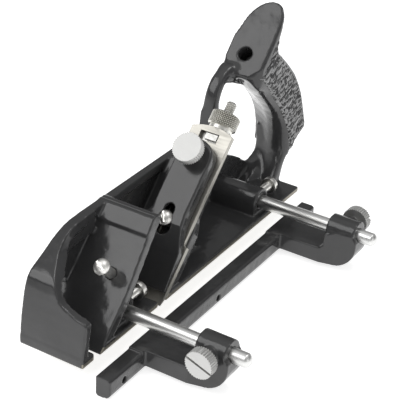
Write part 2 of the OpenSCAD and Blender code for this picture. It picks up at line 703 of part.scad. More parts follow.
module adjuster_nut() {
    groove_u = nut_u - nut_neck - nut_collar_l - nut_groove_l;
    color(nickel) on_main() translate([0, line_y, cutter_t - stud_off]) rotate([0, -90, 0])
        difference() {
            union() {
                translate([0, 0, groove_u - nut_flange_l])
                    cylinder(d = groove_d + 1.8, h = nut_flange_l, $fn = fine);
                translate([0, 0, groove_u - 0.2])
                    cylinder(d = groove_d, h = nut_groove_l + 0.4, $fn = fine);
                translate([0, 0, groove_u + nut_groove_l])
                    cylinder(d = nut_d - 2, h = nut_collar_l, $fn = fine);
                translate([0, 0, nut_u - nut_neck - 0.1])
                    cylinder(d = nut_d - 3, h = nut_neck + 0.2, $fn = fine);
                translate([0, 0, nut_u]) knurled_disc(nut_d, nut_l, 44, 0.6);
            }
            translate([0, 0, groove_u - nut_flange_l - over])
                cylinder(d = stud_d + 2 * run_gap, h = nut_bore_l, $fn = fine);
        }
}

module adjuster_slide() {
    plate_t = 1.5;
    plate_w = 16;
    fork_h = stud_off - cutter_t + 6;
    fork_u = nut_u - nut_neck - nut_collar_l - nut_groove_l + flat_gap * 4;
    fork_t = nut_groove_l - 0.4;
    notch_w = groove_d + 2.4;
    lug_u = lug_window_u - end_gap;
    color(nickel) on_main() difference() {
        union() {
            translate([-fork_u - fork_t, line_y - plate_w / 2, -plate_t])
                cube([fork_u + fork_t - bed_top_l - 1.4, plate_w, plate_t - flat_gap]);
            translate([-lug_u, lug_y, -plate_t])
                cube([lug[0], lug[1], plate_t + cutter_t - 2 * end_gap]);
            translate([-fork_u - fork_t, line_y - plate_w / 2 + 1, -fork_h])
                cube([fork_t, plate_w - 2, fork_h - flat_gap]);
        }
        translate([-fork_u, line_y - notch_w / 2, -plate_t - over])
            cube([nut_flange_l + 0.3, notch_w, plate_t + over]);
        translate([-fork_u - fork_t - over, line_y, cutter_t - stud_off]) rotate([0, 90, 0])
            cylinder(d = groove_d + 0.4, h = fork_t + 2 * over, $fn = fine);
        translate([-fork_u - fork_t - over, line_y - groove_d / 2 - 0.2, -fork_h - over])
            cube([fork_t + 2 * over, groove_d + 0.4, fork_h - stud_off + cutter_t + over]);
    }
}

// Fence rod with a domed end, along Y through the body and the fence's boss
module fence_rod(d) {
    color(nickel) translate([fx(d), 0, rod_z]) {
        bar_y(rod_d, -half_w + 0.4, rod_reach - rod_d * 0.35);
        translate([0, rod_reach - rod_d * 0.35, 0]) rotate([-90, 0, 0]) intersection() {
                cylinder(d = rod_d, h = rod_d, $fn = fine);
                translate([0, 0, -rod_d * 0.186]) sphere(d = rod_d * 1.072, $fn = fine);
            }
    }
}
module front_fence_rod() { fence_rod(front_rod_d); }
module rear_fence_rod() { fence_rod(rear_rod_d); }

// Side view of a fence arm's bend, across (x) and up (y)
module arm_bend() {
    top = -fence_drop + arm_pad_h;
    low = top - arm_t;
    inner = fence_boss_y;
    outer = fence_boss_y + fence_boss_l + 2.2;
    polygon(concat([[fence_y, low + 1], [fence_y, top], [inner - 3, top + 0.3]],
        arc(inner - 3, top + 3.3, 3, -90, 0, 4),
        [[inner, rod_z - 1], [outer - 3, rod_z + 2], [outer, rod_z - 2]],
        arc(outer - 15, low + 16, 15, 0, -80, 8)));
}

module fence_arm(d, s) {
    translate([fx(d), 0, 0]) {
        // Arm and bend, drawn in at the boss
        intersection() {
            translate([-arm_w / 2, 0, 0]) rotate([90, 0, 90]) linear_extrude(arm_w) arm_bend();
            translate([0, 0, -40]) linear_extrude(60) polygon([[-arm_w / 2 - 2, fence_y - 1],
                [-arm_w / 2 - 2, fence_y + fence_t], [-arm_w / 2, fence_y + fence_t + 3],
                [-arm_w / 2, fence_boss_y - 2], [-boss_d / 2, fence_boss_y + 6],
                [-boss_d / 2, fence_boss_y + 30], [boss_d / 2, fence_boss_y + 30],
                [boss_d / 2, fence_boss_y + 6], [arm_w / 2, fence_boss_y - 2],
                [arm_w / 2, fence_y + fence_t + 3], [arm_w / 2 + 2, fence_y + fence_t],
                [arm_w / 2 + 2, fence_y - 1]]);
        }
        translate([-arm_w / 2 - 2, fence_y, -fence_drop - 3]) cube([arm_w + 4, fence_t, 3 + arm_pad_h]);
        translate([0, 0, rod_z]) bar_y(boss_d, fence_boss_y, fence_boss_y + fence_boss_l);
        // Small boss round the thumbscrew
        translate([0, fence_boss_y + fence_boss_l / 2, rod_z]) rotate([0, s * 90, 0])
            cylinder(d = 9.5, h = boss_d / 2 + 1.4, $fn = fine);
    }
}

module fence() {
    mid_d = (front_rod_d + rear_rod_d) / 2 - fence_shift;
    color(enamel) difference() {
        union() {
            // Bar: square above, rounded along its lower outer edge
            translate([fx(mid_d) - fence_l / 2, 0, 0]) rotate([90, 0, 90]) linear_extrude(fence_l)
                polygon(concat([[fence_y, -fence_drop - fence_h + 0.8], [fence_y, -fence_drop],
                    [fence_y + fence_t - 1, -fence_drop], [fence_y + fence_t, -fence_drop - 1]],
                    arc(fence_y + fence_t - 3.4, -fence_drop - fence_h + 3.4, 3.4, 0, -90, 5),
                    [[fence_y + 0.8, -fence_drop - fence_h]]));
            fence_arm(front_rod_d, 1);
            fence_arm(rear_rod_d, -1);
        }
        for (d = [front_rod_d, rear_rod_d])
            translate([fx(d), 0, rod_z])
                bar_y(rod_d + 2 * run_gap, fence_boss_y - 8, fence_boss_y + 30);
        translate([fx(front_rod_d), fence_boss_y + fence_boss_l / 2, rod_z])
            bar_x(fence_screw_d + 2 * run_gap, 0, boss_d);
        translate([fx(rear_rod_d), fence_boss_y + fence_boss_l / 2, rod_z])
            bar_x(fence_screw_d + 2 * run_gap, -boss_d, 0);
        // Facing holes
        for (i = [0:2]) translate([fx(facing_d + i * facing_gap), 0, facing_z])
            bar_y(facing_hole_d, fence_y - over, fence_y + fence_t + over);
    }
}

// Knurled and slotted thumbscrew that points to +X, from the rod's face outwards
module fence_thumbscrew() {
    difference() {
        union() {
            translate([rod_d / 2 + end_gap, 0, 0]) rotate([0, 90, 0])
                cylinder(d = fence_screw_d, h = fence_knob_reach - rod_d / 2 - end_gap - 1,
                    $fn = fine);
            translate([fence_knob_reach - fence_knob_l, 0, 0]) rotate([0, 90, 0])
                knurled_disc(fence_knob_d, fence_knob_l, 36, 0.7);
        }
        translate([fence_knob_reach - 1.4, 0, 0]) rotate([-20, 0, 0])
            translate([0, -fence_knob_d, -0.6]) cube([3, 2 * fence_knob_d, 1.2]);
    }
}
module front_fence_thumbscrew() {
    color(nickel) translate([fx(front_rod_d), fence_boss_y + fence_boss_l / 2, rod_z])
        fence_thumbscrew();
}
module rear_fence_thumbscrew() {
    color(nickel) translate([fx(rear_rod_d), fence_boss_y + fence_boss_l / 2, rod_z])
        rotate([0, 0, 180]) fence_thumbscrew();
}

// Slotted cheese-head screw that points to -X and bears on a rod
module rod_lock_screw(d) {
    color(nickel) translate([fx(d), lock_y, rod_z]) difference() {
        union() {
            bar_x(lock_d, -lock_reach + 1, -rod_d / 2 - end_gap);
            bar_x(lock_head_d, -lock_reach, -lock_reach + lock_head_l);
        }
        translate([-lock_reach - over, -lock_head_d, -0.55])
            cube([1.2 + over, 2 * lock_head_d, 1.1]);
    }
}
module front_rod_lock_screw() { rod_lock_screw(front_rod_d); }
module rear_rod_lock_screw() { rod_lock_screw(rear_rod_d); }

module depth_stop() {
    foot_l = stop_w + 2 * stop_foot_side;
    slot_d = stop_screw_d + 0.6;
    color(enamel) translate([fx(stop_d), -half_w - flat_gap, 0]) difference() {
        union() {
            translate([-stop_w / 2, -stop_t, stop_foot_z]) cube([stop_w, stop_t, stop_h]);
            translate([-foot_l / 2, -stop_foot_w, stop_foot_z])
                cube([foot_l, stop_foot_w, stop_t + 0.6]);
        }
        translate([0, over, 0]) rotate([90, 0, 0]) linear_extrude(stop_t + 2 * over)
            slot([0, stop_screw_z - stop_slot_low], [0, stop_foot_z + stop_h - stop_slot_high],
                slot_d);
    }
}
module depth_stop_washer() {
    color(nickel) translate([fx(stop_d), 0, stop_screw_z]) difference() {
        bar_y(stop_knob_d - 2, washer_y - washer_t, washer_y);
        bar_y(stop_screw_d + 2 * run_gap, washer_y - washer_t - over, washer_y + over);
    }
}
module depth_stop_screw() {
    neck_y = washer_y - washer_t - flat_gap;
    color(nickel) translate([fx(stop_d), 0, stop_screw_z]) {
        bar_y(stop_screw_d, neck_y - over, -half_w + side_t - end_gap);
        bar_y(stop_neck_d, neck_y - stop_neck_l, neck_y);
        translate([0, neck_y - stop_neck_l + 0.1, 0]) rotate([90, 0, 0])
            knurled_disc(stop_knob_d, stop_knob_l, 36, 0.7);
    }
}

// Lobe of the spur, its edge r from the axis and w wide at the root
module spur_lobe(r, w) {
    linear_extrude(spur_t) polygon([[-w, 0], [-w * 0.8, r * 0.62], [-w * 0.3, r],
        [w * 0.3, r], [w * 0.8, r * 0.62], [w, 0]]);
}
// Spur: three sharp lobes and one short one, flush in the side
module spur() {
    root = spur_r * 0.42;
    color(steel) translate([fx(spur_d), -half_w + spur_t, spur_z]) rotate([90, 0, 0]) difference() {
        union() {
            cylinder(r = spur_r * 0.58, h = spur_t, $fn = fine);
            for (a = [0, 90, 180]) rotate(a) spur_lobe(spur_r, root);
            rotate(-90) spur_lobe(spur_r * 0.72, root);
        }
        translate([0, 0, -over]) cylinder(d = spur_screw_d + 2 * run_gap, h = spur_t + 2 * over,
            $fn = fine);
    }
}
module spur_screw() {
    color(nickel) translate([fx(spur_d), -half_w - flat_gap, spur_z]) rotate([90, 0, 0]) difference() {
        union() {
            cylinder(d = 7, h = 1.4, $fn = fine);
            translate([0, 0, -spur_screw_seat])
                cylinder(d = spur_screw_d, h = spur_screw_seat + 0.2, $fn = fine);
        }
        translate([-4, -0.5, 0.7]) cube([8, 1, 2]);
    }
}

body_casting();
cutter();
lever_cap();
lever_cap_thumbscrew();
main_fulcrum_screw();
bullnose_fulcrum_screw();
adjuster_stud();
adjuster_nut();
adjuster_slide();
fence();
front_fence_rod();
rear_fence_rod();
front_fence_thumbscrew();
rear_fence_thumbscrew();
front_rod_lock_screw();
rear_rod_lock_screw();
depth_stop();
depth_stop_screw();
depth_stop_washer();
spur();
spur_screw();
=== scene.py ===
import math

import bmesh
import bpy
import numpy as np
from mathutils import Matrix, Vector, noise


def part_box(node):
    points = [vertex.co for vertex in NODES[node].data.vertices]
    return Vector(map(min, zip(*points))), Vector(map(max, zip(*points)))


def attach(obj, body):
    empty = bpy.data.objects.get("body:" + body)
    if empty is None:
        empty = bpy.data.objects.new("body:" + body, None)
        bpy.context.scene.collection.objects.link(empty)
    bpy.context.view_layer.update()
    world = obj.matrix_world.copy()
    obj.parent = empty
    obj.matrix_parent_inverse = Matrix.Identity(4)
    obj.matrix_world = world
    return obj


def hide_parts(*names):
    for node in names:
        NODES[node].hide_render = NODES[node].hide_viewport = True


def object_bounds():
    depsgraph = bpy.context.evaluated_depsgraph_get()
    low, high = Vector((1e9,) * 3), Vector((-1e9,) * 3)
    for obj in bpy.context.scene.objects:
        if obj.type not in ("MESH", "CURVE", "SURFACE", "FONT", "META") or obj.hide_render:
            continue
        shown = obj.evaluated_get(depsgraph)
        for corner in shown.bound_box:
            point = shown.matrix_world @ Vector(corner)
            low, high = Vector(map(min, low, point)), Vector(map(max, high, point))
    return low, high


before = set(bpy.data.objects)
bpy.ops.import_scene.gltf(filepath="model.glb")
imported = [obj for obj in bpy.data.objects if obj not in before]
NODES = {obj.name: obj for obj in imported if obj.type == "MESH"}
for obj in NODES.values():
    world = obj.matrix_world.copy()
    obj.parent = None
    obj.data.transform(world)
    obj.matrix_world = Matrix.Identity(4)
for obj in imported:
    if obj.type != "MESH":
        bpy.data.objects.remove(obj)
CAD_BOX = [list(corner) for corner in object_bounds()]
MM = 0.001
SEAT = math.radians(45)   # slope of the main seat and the cutter on it

# Camera: where it stands, where it looks, its roll and its lens
CAMERA_AT = Vector((0.54255, 0.33405, 0.40564))
CAMERA_AIM = Vector((-0.74677, -0.43861, -0.49995)).normalized()
CAMERA_ROLL = math.radians(3.22)
CAMERA_LENS = 126.8
SENSOR_WIDTH = 36


def add_camera():
    """The camera at the photograph's viewing angle."""
    level_right = CAMERA_AIM.cross(Vector((0, 0, 1))).normalized()
    level_up = level_right.cross(CAMERA_AIM)
    right = level_right * math.cos(CAMERA_ROLL) + level_up * math.sin(CAMERA_ROLL)
    up = level_up * math.cos(CAMERA_ROLL) - level_right * math.sin(CAMERA_ROLL)
    data = bpy.data.cameras.new("camera")
    data.lens = CAMERA_LENS
    data.sensor_width = SENSOR_WIDTH
    data.clip_start = 0.01
    data.clip_end = 20
    camera = bpy.data.objects.new("camera", data)
    turn = Matrix((right, up, -CAMERA_AIM)).transposed().to_4x4()
    camera.matrix_world = Matrix.Translation(CAMERA_AT) @ turn
    bpy.context.scene.collection.objects.link(camera)
    bpy.context.scene.camera = camera


add_camera()


# Materials
class Shader:
    """A node material with a Principled shader, and short ways to feed it."""

    def __init__(self, name, color, metallic=0.0, roughness=0.5, **inputs):
        self.material = bpy.data.materials.new(name)
        self.material.use_nodes = True
        self.nodes = self.material.node_tree.nodes
        self.links = self.material.node_tree.links
        self.surface = self.nodes["Principled BSDF"]
        self.set("Base Color", (*color, 1))
        self.set("Metallic", metallic)
        self.set("Roughness", roughness)
        for key, value in inputs.items():
            self.set(key.replace("_", " "), value)
        self.place = self.nodes.new("ShaderNodeTexCoord").outputs["Object"]
        self.normal = None

    def set(self, socket, value):
        self.surface.inputs[socket].default_value = value

    def stretched(self, scale, turn=(0, 0, 0)):
        """Object coordinates, turned and scaled."""
        mapping = self.nodes.new("ShaderNodeMapping")
        mapping.inputs["Rotation"].default_value = turn
        mapping.inputs["Scale"].default_value = scale
        self.links.new(self.place, mapping.inputs["Vector"])
        return mapping.outputs["Vector"]

    def noise(self, scale, detail=3.0, rough=0.5, place=None):
        node = self.nodes.new("ShaderNodeTexNoise")
        node.inputs["Scale"].default_value = scale
        node.inputs["Detail"].default_value = detail
        node.inputs["Roughness"].default_value = rough
        self.links.new(place or self.place, node.inputs["Vector"])
        return node.outputs["Fac"]

    def ramp(self, value, low, high, start=0.3, end=0.7):
        """Maps a 0 to 1 value to a range of numbers."""
        node = self.nodes.new("ShaderNodeMapRange")
        node.inputs["From Min"].default_value = start
        node.inputs["From Max"].default_value = end
        node.inputs["To Min"].default_value = low
        node.inputs["To Max"].default_value = high
        self.links.new(value, node.inputs["Value"])
        return node.outputs["Result"]

    def colors(self, value, first, second, start=0.3, end=0.7):
        """Feeds the base colour with a blend of two colours."""
        node = self.nodes.new("ShaderNodeValToRGB")
        node.color_ramp.elements[0].position = start
        node.color_ramp.elements[0].color = (*first, 1)
        node.color_ramp.elements[1].position = end
        node.color_ramp.elements[1].color = (*second, 1)
        self.links.new(value, node.inputs["Fac"])
        self.links.new(node.outputs["Color"], self.surface.inputs["Base Color"])

    def feed(self, socket, value):
        self.links.new(value, self.surface.inputs[socket])

    def bump(self, height, strength, distance):
        node = self.nodes.new("ShaderNodeBump")
        node.inputs["Strength"].default_value = strength
        node.inputs["Distance"].default_value = distance
        self.links.new(height, node.inputs["Height"])
        if self.normal:
            self.links.new(self.normal, node.inputs["Normal"])
        self.normal = node.outputs["Normal"]
        self.links.new(self.normal, self.surface.inputs["Normal"])


def enamel(name, roughness, grain, waves, index=1.5):
    """Black enamel over a sand casting: glossy, with slow waves and fine grain."""
    shader = Shader(name, (0.042, 0.042, 0.043), roughness=roughness, IOR=index)
    patches = shader.noise(160, 4)
    shader.feed("Roughness", shader.ramp(patches, roughness - 0.05, roughness + 0.08))
    shader.colors(shader.noise(35, 3), (0.037, 0.037, 0.038), (0.048, 0.048, 0.049))
    shader.bump(shader.noise(75, 2), waves, 1.2 * MM)
    shader.bump(shader.noise(650, 4, 0.6), grain, 0.12 * MM)
    return shader.material


def brushed(name, color, roughness, stretch, turn=(0, 0, 0), depth=0.25, tint=0.06):
    """Metal with fine tool marks along one direction."""
    shader = Shader(name, color, metallic=1.0, roughness=roughness)
    lines = shader.noise(1.0, 3, 0.6, shader.stretched(stretch, turn))
    shader.feed("Roughness", shader.ramp(lines, roughness - 0.07, roughness + 0.1))
    dark = tuple(c * (1 - tint) for c in color)
    shader.colors(shader.noise(90, 3), dark, color)
    shader.bump(lines, depth, 0.03 * MM)
    return shader.material


BLACK = enamel("enamel", 0.13, 0.34, 0.55)
# Enamel on the pebbles with a far stronger reflection than the rest: a painted sheen on the pebble
# tops
PEBBLE_SHEEN_ENAMEL = enamel("enamel_pebbled_painted_sheen", 0.13, 0.1, 0.1, 2.5)
# Enamel with a low index and rougher, for the gaps between the pebbles: painted shade in the gaps
GAP_SHADE_ENAMEL = enamel("enamel_gap_painted_shade", 0.5, 0.1, 0.1, 1.3)

CUTTER = brushed("cutter_steel", (0.455, 0.441, 0.402), 0.36, (900, 60, 900), (0, SEAT, 0))
LUG = brushed("bright_steel", (0.44, 0.436, 0.42), 0.3, (500, 500, 500), depth=0.12)
STUD = brushed("stud_steel", (0.52, 0.515, 0.49), 0.3, (500, 500, 500), depth=0.1)
NICKEL = brushed("nickel", (0.78, 0.77, 0.74), 0.33, (500, 500, 500), depth=0.15)
# Rougher nickel for the bullnose screw, lighter in colour than the other screws: the colour is a
# painted sheen for the light its shank catches
SHEEN_NICKEL = brushed("dull_nickel_painted_sheen", (0.9, 0.89, 0.86), 0.42, (500, 500, 500), depth=0.1)
KNOB = brushed("satin_knob", (0.585, 0.585, 0.575), 0.5, (4000, 4000, 4000), depth=0.03, tint=0.01)
KNURL = brushed("knurled_nickel", (0.82, 0.81, 0.76), 0.34, (400, 400, 400), depth=0.1, tint=0.08)
# Dark colour for the faces deep in the knurl and thread grooves: painted shade in the recesses
GROOVE_PAINTED_SHADE = brushed("groove", (0.37, 0.36, 0.32), 0.5, (400, 400, 400), depth=0.1)
ROD = brushed("bright_rod", (0.74, 0.74, 0.73), 0.33, (1500, 30, 1500), depth=0.05, tint=0.03)
MACHINED = brushed("machined_sole", (0.28, 0.26, 0.215), 0.4, (60, 900, 900), depth=0.35, tint=0.1)


# Mesh helpers
WELD_GAP = 0.002 * MM
BEVEL_SEGMENTS = 2


def new_object(name, mesh, *materials):
    """A new object in the scene with a mesh and its materials."""
    piece = bpy.data.objects.new(name, mesh)
    bpy.context.scene.collection.objects.link(piece)
    for material in materials:
        mesh.materials.append(material)
    return piece


def mesh_of(name, points, faces, *materials):
    """A new smooth object from points in millimetres and faces."""
    mesh = bpy.data.meshes.new(name)
    mesh.from_pydata([tuple(c * MM for c in p) for p in points], [], faces)
    mesh.validate()
    mesh.shade_smooth()
    return new_object(name, mesh, *materials)


def evaluated(piece):
    """A mesh with the piece's modifiers applied."""
    graph = bpy.context.evaluated_depsgraph_get()
    graph.update()
    return bpy.data.meshes.new_from_object(piece.evaluated_get(graph))


def add_hull(mesh, points):
    """Adds the convex solid round some points, in millimetres, to a mesh."""
    build = bmesh.new()
    for point in points:
        build.verts.new([c * MM for c in point])
    hull = bmesh.ops.convex_hull(build, input=build.verts)
    bmesh.ops.delete(build, geom=hull["geom_interior"], context="VERTS")
    bmesh.ops.recalc_face_normals(build, faces=build.faces)
    build.from_mesh(mesh)
    build.to_mesh(mesh)
    build.free()


def casting(node, name, voxel, rounds, flares=()):
    """A copy of a node, joined with its flares, with every edge rounded as a casting's are."""
    mesh = NODES[node].data.copy()
    mesh.materials.clear()
    for flare in flares:
        add_hull(mesh, flare)
    source = new_object(name + "_source", mesh)
    weld = source.modifiers.new("weld", "WELD")
    weld.merge_threshold = WELD_GAP
    remesh = source.modifiers.new("remesh", "REMESH")
    remesh.mode = "VOXEL"
    remesh.voxel_size = voxel
    remesh.use_smooth_shade = True
    round_off = source.modifiers.new("round", "SMOOTH")
    round_off.factor = 0.5
    round_off.iterations = rounds
    piece = new_object(name, evaluated(source))
    bpy.data.objects.remove(source)
    return piece


def soften(node, width, material):
    """Small round edges and a material on a CAD node that keeps its shape."""
    piece = NODES[node]
    weld = piece.modifiers.new("weld", "WELD")
    weld.merge_threshold = WELD_GAP
    bevel = piece.modifiers.new("bevel", "BEVEL")
    bevel.width = width
    bevel.segments = BEVEL_SEGMENTS
    bevel.limit_method = "ANGLE"
    bevel.angle_limit = math.radians(32)
    bevel.harden_normals = True
    paint(piece, material)


def fair(mesh, share, rounds):
    """Smooths a mesh where share(x, y, z), in millimetres, is above 0, and fully where it is 1."""
    count = len(mesh.vertices)
    flat = np.empty(count * 3)
    mesh.vertices.foreach_get("co", flat)
    points = flat.reshape(-1, 3)
    pairs = np.empty(len(mesh.edges) * 2, dtype=np.int64)
    mesh.edges.foreach_get("vertices", pairs)
    weight = np.array([share(*point) for point in points / MM])
    pairs = pairs.reshape(-1, 2)
    pairs = pairs[(weight[pairs] > 0).any(axis=1)]
    first, second = pairs[:, 0], pairs[:, 1]
    degree = np.maximum(np.bincount(pairs.ravel(), minlength=count), 1)
    for _ in range(rounds):
        for axis in range(3):
            line = points[:, axis]
            total = np.bincount(first, line[second], count)
            total += np.bincount(second, line[first], count)
            line += 0.5 * weight * (total / degree - line)
    mesh.vertices.foreach_set("co", points.ravel())
    mesh.update()


def fade(distance, full, end):
    """1 up to the distance full, then down to 0 at the distance end."""
    return min(1.0, max(0.0, (end - distance) / (end - full)))


def outside(value, low, high):
    """How far a value lies outside a range."""
    return max(low - value, value - high, 0.0)


def path_place(x, z, path):
    """A point's place beside a line of points that is seen from the side.

    Gives its distance from the line, how far it lies to the left of it, and the way to the left.
    """
    best = (math.inf, 0, 0, 0)
    for (ax, az), (bx, bz) in zip(path, path[1:]):
        dx, dz = bx - ax, bz - az
        share = min(1.0, max(0.0, ((x - ax) * dx + (z - az) * dz) / (dx * dx + dz * dz)))
        away = math.hypot(x - ax - share * dx, z - az - share * dz)
        if away < best[0]:
            length = math.hypot(dx, dz)
            left = ((x - ax) * -dz + (z - az) * dx) / length
            best = (away, left, -dz / length, dx / length)
    return best


def near_block(low, high):
    """A share that is 1 inside a block, in millimetres, and fades out over 4 mm beside it."""
    def share(*point):
        reach = math.hypot(*map(outside, point, low, high))
        return fade(reach, 0, 4)
    return share


def paint(piece, material):
    """Gives a piece one material in place of those it has."""
    piece.data.materials.clear()
    piece.data.materials.append(material)


# Body casting: its machined faces are the sole, the sole's left edge and the right wall
BODY_LOW, BODY_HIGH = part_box("body_casting")
SOLE_BAND = 2.9 * MM

# Near inner edge of the grip, seen from the side
GRIP_EDGE = [(-95.5, 2), (-100, 8), (-104, 13.3), (-107.1, 18.2), (-107.9, 23), (-107.2, 30.6),
             (-105.6, 36.6), (-103.4, 41.9), (-99.5, 48.4), (-94.8, 53.9), (-84.7, 64.1),
             (-76, 71.6), (-70, 77.5)]

# Where the casting flares: the grip's foot, and the horn's lower end beside the strap
FOOT_FLARE = [(-91.5, -17, 3.2), (-91.5, -8, 3.2), (-98.5, -16, 7.2), (-98.5, -10, 7.2),
              (-107, -16, 9), (-107, -9.5, 9), (-112.7, -16, 15), (-112.7, -9.5, 15),
              (-100, -4, 3.2), (-112, -3, 3.2), (-113, -6, 9), (-114, -16, 3.2)]
HORN_FLARE = [(-75, -17, 85.3), (-75, 2.5, 85.3), (-71.8, -17, 81.8), (-71.8, 2.5, 81.8),
              (-70.2, -15, 80.1), (-70.2, 0.5, 80.1), (-69.6, -12, 79.4), (-69.6, -3, 79.4),
              (-78.4, -17, 75.8), (-78.4, 0, 75.8), (-84, -17, 80), (-84, 1, 80)]

# Spots that are smoothed further: lowest and highest corner, in millimetres
HORN_ROOT = ((-75.5, -18, 77), (-66, -5, 83.5))
STRAP_BEND = ((-66, -20, 66), (-50, -8, 81))
GRIP_FOOT = ((-114, -14, 7), (-98, 2, 20))

# Grip: its far and near side, and the lean of its inner face
GRIP_FAR, GRIP_SIDE = -19, 6.0
GRIP_LEAN = math.tan(math.radians(23))

# The part of it that is shaped, and the heights between which it is shaped in full
GRIP_FRONT, GRIP_DEPTH = -66, 24
GRIP_LOW, GRIP_HIGH = 8, 76
FULL_LOW, FULL_HIGH = 20, 68
GRIP_FADE = 9

# How far its inner face bows, over what width, and the radius of its near edge
BOW, BOW_RUN = 2.5, 16.2
NEAR_RADIUS = 6.3


def in_grip(x, y, z):
    """Whether a point, in millimetres, lies in the part of the grip that is shaped."""
    across = GRIP_FAR - 0.1 < y < GRIP_SIDE + 0.3
    return x <= GRIP_FRONT and across and GRIP_LOW < z < GRIP_HIGH


def round_grip(mesh):
    """Bows the grip's inner face towards the fingers and rounds its near edge widely."""
    for vertex in mesh.vertices:
        x, y, z = vertex.co / MM
        if not in_grip(x, y, z):
            continue
        _, depth, way_x, way_z = path_place(x, z, GRIP_EDGE)
        share = fade(outside(z, FULL_LOW, FULL_HIGH), 0, GRIP_FADE)
        if not -1 < depth < GRIP_DEPTH or share == 0:
            continue
        lean = GRIP_LEAN * abs(way_x)
        slope = math.hypot(1, lean)
        bow = BOW * share
        reach = abs(depth - lean * (GRIP_SIDE - y)) / slope
        place = depth - bow * fade(reach, 1, 6.5) * min(1.0, (y - GRIP_FAR) / BOW_RUN)
        radius = NEAR_RADIUS * share
        lean += bow / BOW_RUN
        a = place - (radius * (slope + lean) - bow)
        b = y - (GRIP_SIDE - radius)
        if radius > 0.5 and a < 0 and b > lean * a and math.hypot(a, b) > radius:
            scale = radius / math.hypot(a, b)
            place += a * scale - a
            vertex.co.y += (b * scale - b) * MM
        vertex.co.x += (place - depth) * way_x * MM
        vertex.co.z += (place - depth) * way_z * MM


def near_grip_edge(x, y, z):
    """A share that is 1 within 4 mm of the grip's near inner edge, and fades out beside it."""
    if x > -68 or y < -9 or z < 1:
        return 0.0
    reach = math.hypot(path_place(x, z, GRIP_EDGE)[0], outside(y, -1, 9))
    return fade(reach, 4, 8) * fade(outside(z, 10, 90), 0, 6)


def make_body():
    """The casting, with its machined faces bare and the rest enamelled."""
    body = casting("body_casting", "body", 0.6 * MM, 4, (FOOT_FLARE, HORN_FLARE))
    round_grip(body.data)
    fair(body.data, near_grip_edge, 60)
    fair(body.data, near_block(*STRAP_BEND), 60)
    fair(body.data, near_block(*HORN_ROOT), 80)
    fair(body.data, near_block(*GRIP_FOOT), 60)
    for material in (BLACK, MACHINED):
        body.data.materials.append(material)
    for face in body.data.polygons:
        at = face.center
        sole = at.z < BODY_LOW.z + 0.5 * MM and face.normal.z < -0.5
        edge = at.y > BODY_HIGH.y - 0.7 * MM and at.z < BODY_LOW.z + SOLE_BAND
        wall = at.y < BODY_LOW.y + 0.5 * MM and face.normal.y < -0.8
        face.material_index = 1 if sole or edge or wall else 0
    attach(body, "plane_body")
    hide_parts("body_casting")


def make_castings():
    """The fence and the lever cap, enamelled all over."""
    fence = casting("fence", "fence_casting", 0.5 * MM, 4)
    paint(fence, BLACK)
    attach(fence, "fence_body")
    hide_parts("fence")
    cap = casting("lever_cap", "cap_casting", 0.4 * MM, 3)
    paint(cap, BLACK)
    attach(cap, "cap")
    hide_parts("lever_cap")


# Pebbled side of the grip: its border, seen from the side
PEBBLES = [(-74, 80), (-88.2, 65.8), (-100.8, 52.6), (-108.5, 40.9), (-112.7, 31.7),
           (-114.2, 22.2), (-112.4, 15.5), (-113.6, 14.2), (-117.6, 19), (-125, 24.2),
           (-132.6, 28), (-133, 30.5), (-130.9, 37.4), (-127.8, 45.8), (-124.4, 53.9),
           (-120.4, 60.7), (-114.6, 69), (-107.4, 76.2), (-97.3, 85.4), (-93.3, 89),
           (-92.1, 93.4), (-93.4, 97.6), (-97, 104), (-99.3, 107.5), (-98.2, 105.5),
           (-77.5, 83.2)]

# The panel: grid step, depth of its border in the casting, where it rises and over what run
PANEL_STEP = 0.28
PANEL_SINK = 1.5
RISE_START, RISE_RUN = 0.2, 2.2

# The pebbles: height, number along and across for each millimetre, and the way they lie
PEBBLE_HEIGHT = 1.3
PER_LENGTH, PER_WIDTH = 0.17, 0.4
WAY_X, WAY_Z = 0.74, 0.67

# Faces below this height and this far from the border are gaps, and take a less reflective enamel:
# painted shade in the gaps
GAP_HEIGHT, GAP_BORDER = 0.55, 1.8


def border_distance(x, z):
    """Distance from the border of the pebbled area, negative outside it."""
    loop = PEBBLES + PEBBLES[:1]
    inside = False
    for (ax, az), (bx, bz) in zip(loop, loop[1:]):
        if (az > z) != (bz > z) and x < ax + (z - az) * (bx - ax) / (bz - az):
            inside = not inside
    distance = path_place(x, z, loop)[0]
    return distance if inside else -distance


def pebble(x, z):
    """Height, from 0 to 1, of long rounded pebbles that lie across the grip."""
    along, across = WAY_X * x - WAY_Z * z, WAY_Z * x + WAY_X * z
    wander = 0.3 * noise.noise((x * 0.3, z * 0.3, 3.1))
    cell, _ = noise.voronoi((along * PER_LENGTH + wander, across * PER_WIDTH + wander, 0.3))
    return min(1.0, 2.0 * (cell[1] - cell[0])) ** 0.8


def panel_points():
    """The panel's points, and their numbers by their place in the grid."""
    all_x, all_z = zip(*PEBBLES)
    low_x, low_z = min(all_x), min(all_z)
    points, index = [], {}
    for i in range(int((max(all_x) - low_x) / PANEL_STEP) + 2):
        for k in range(int((max(all_z) - low_z) / PANEL_STEP) + 2):
            x, z = low_x + i * PANEL_STEP, low_z + k * PANEL_STEP
            rim = border_distance(x, z)
            if rim > RISE_START:
                rise = min(1.0, (rim - RISE_START) / RISE_RUN)
                rise *= 2 - rise
                height = -PANEL_SINK + rise * (PANEL_SINK + PEBBLE_HEIGHT * pebble(x, z))
                index[i, k] = len(points)
                points.append((x, GRIP_SIDE + height, z))
    return points, index


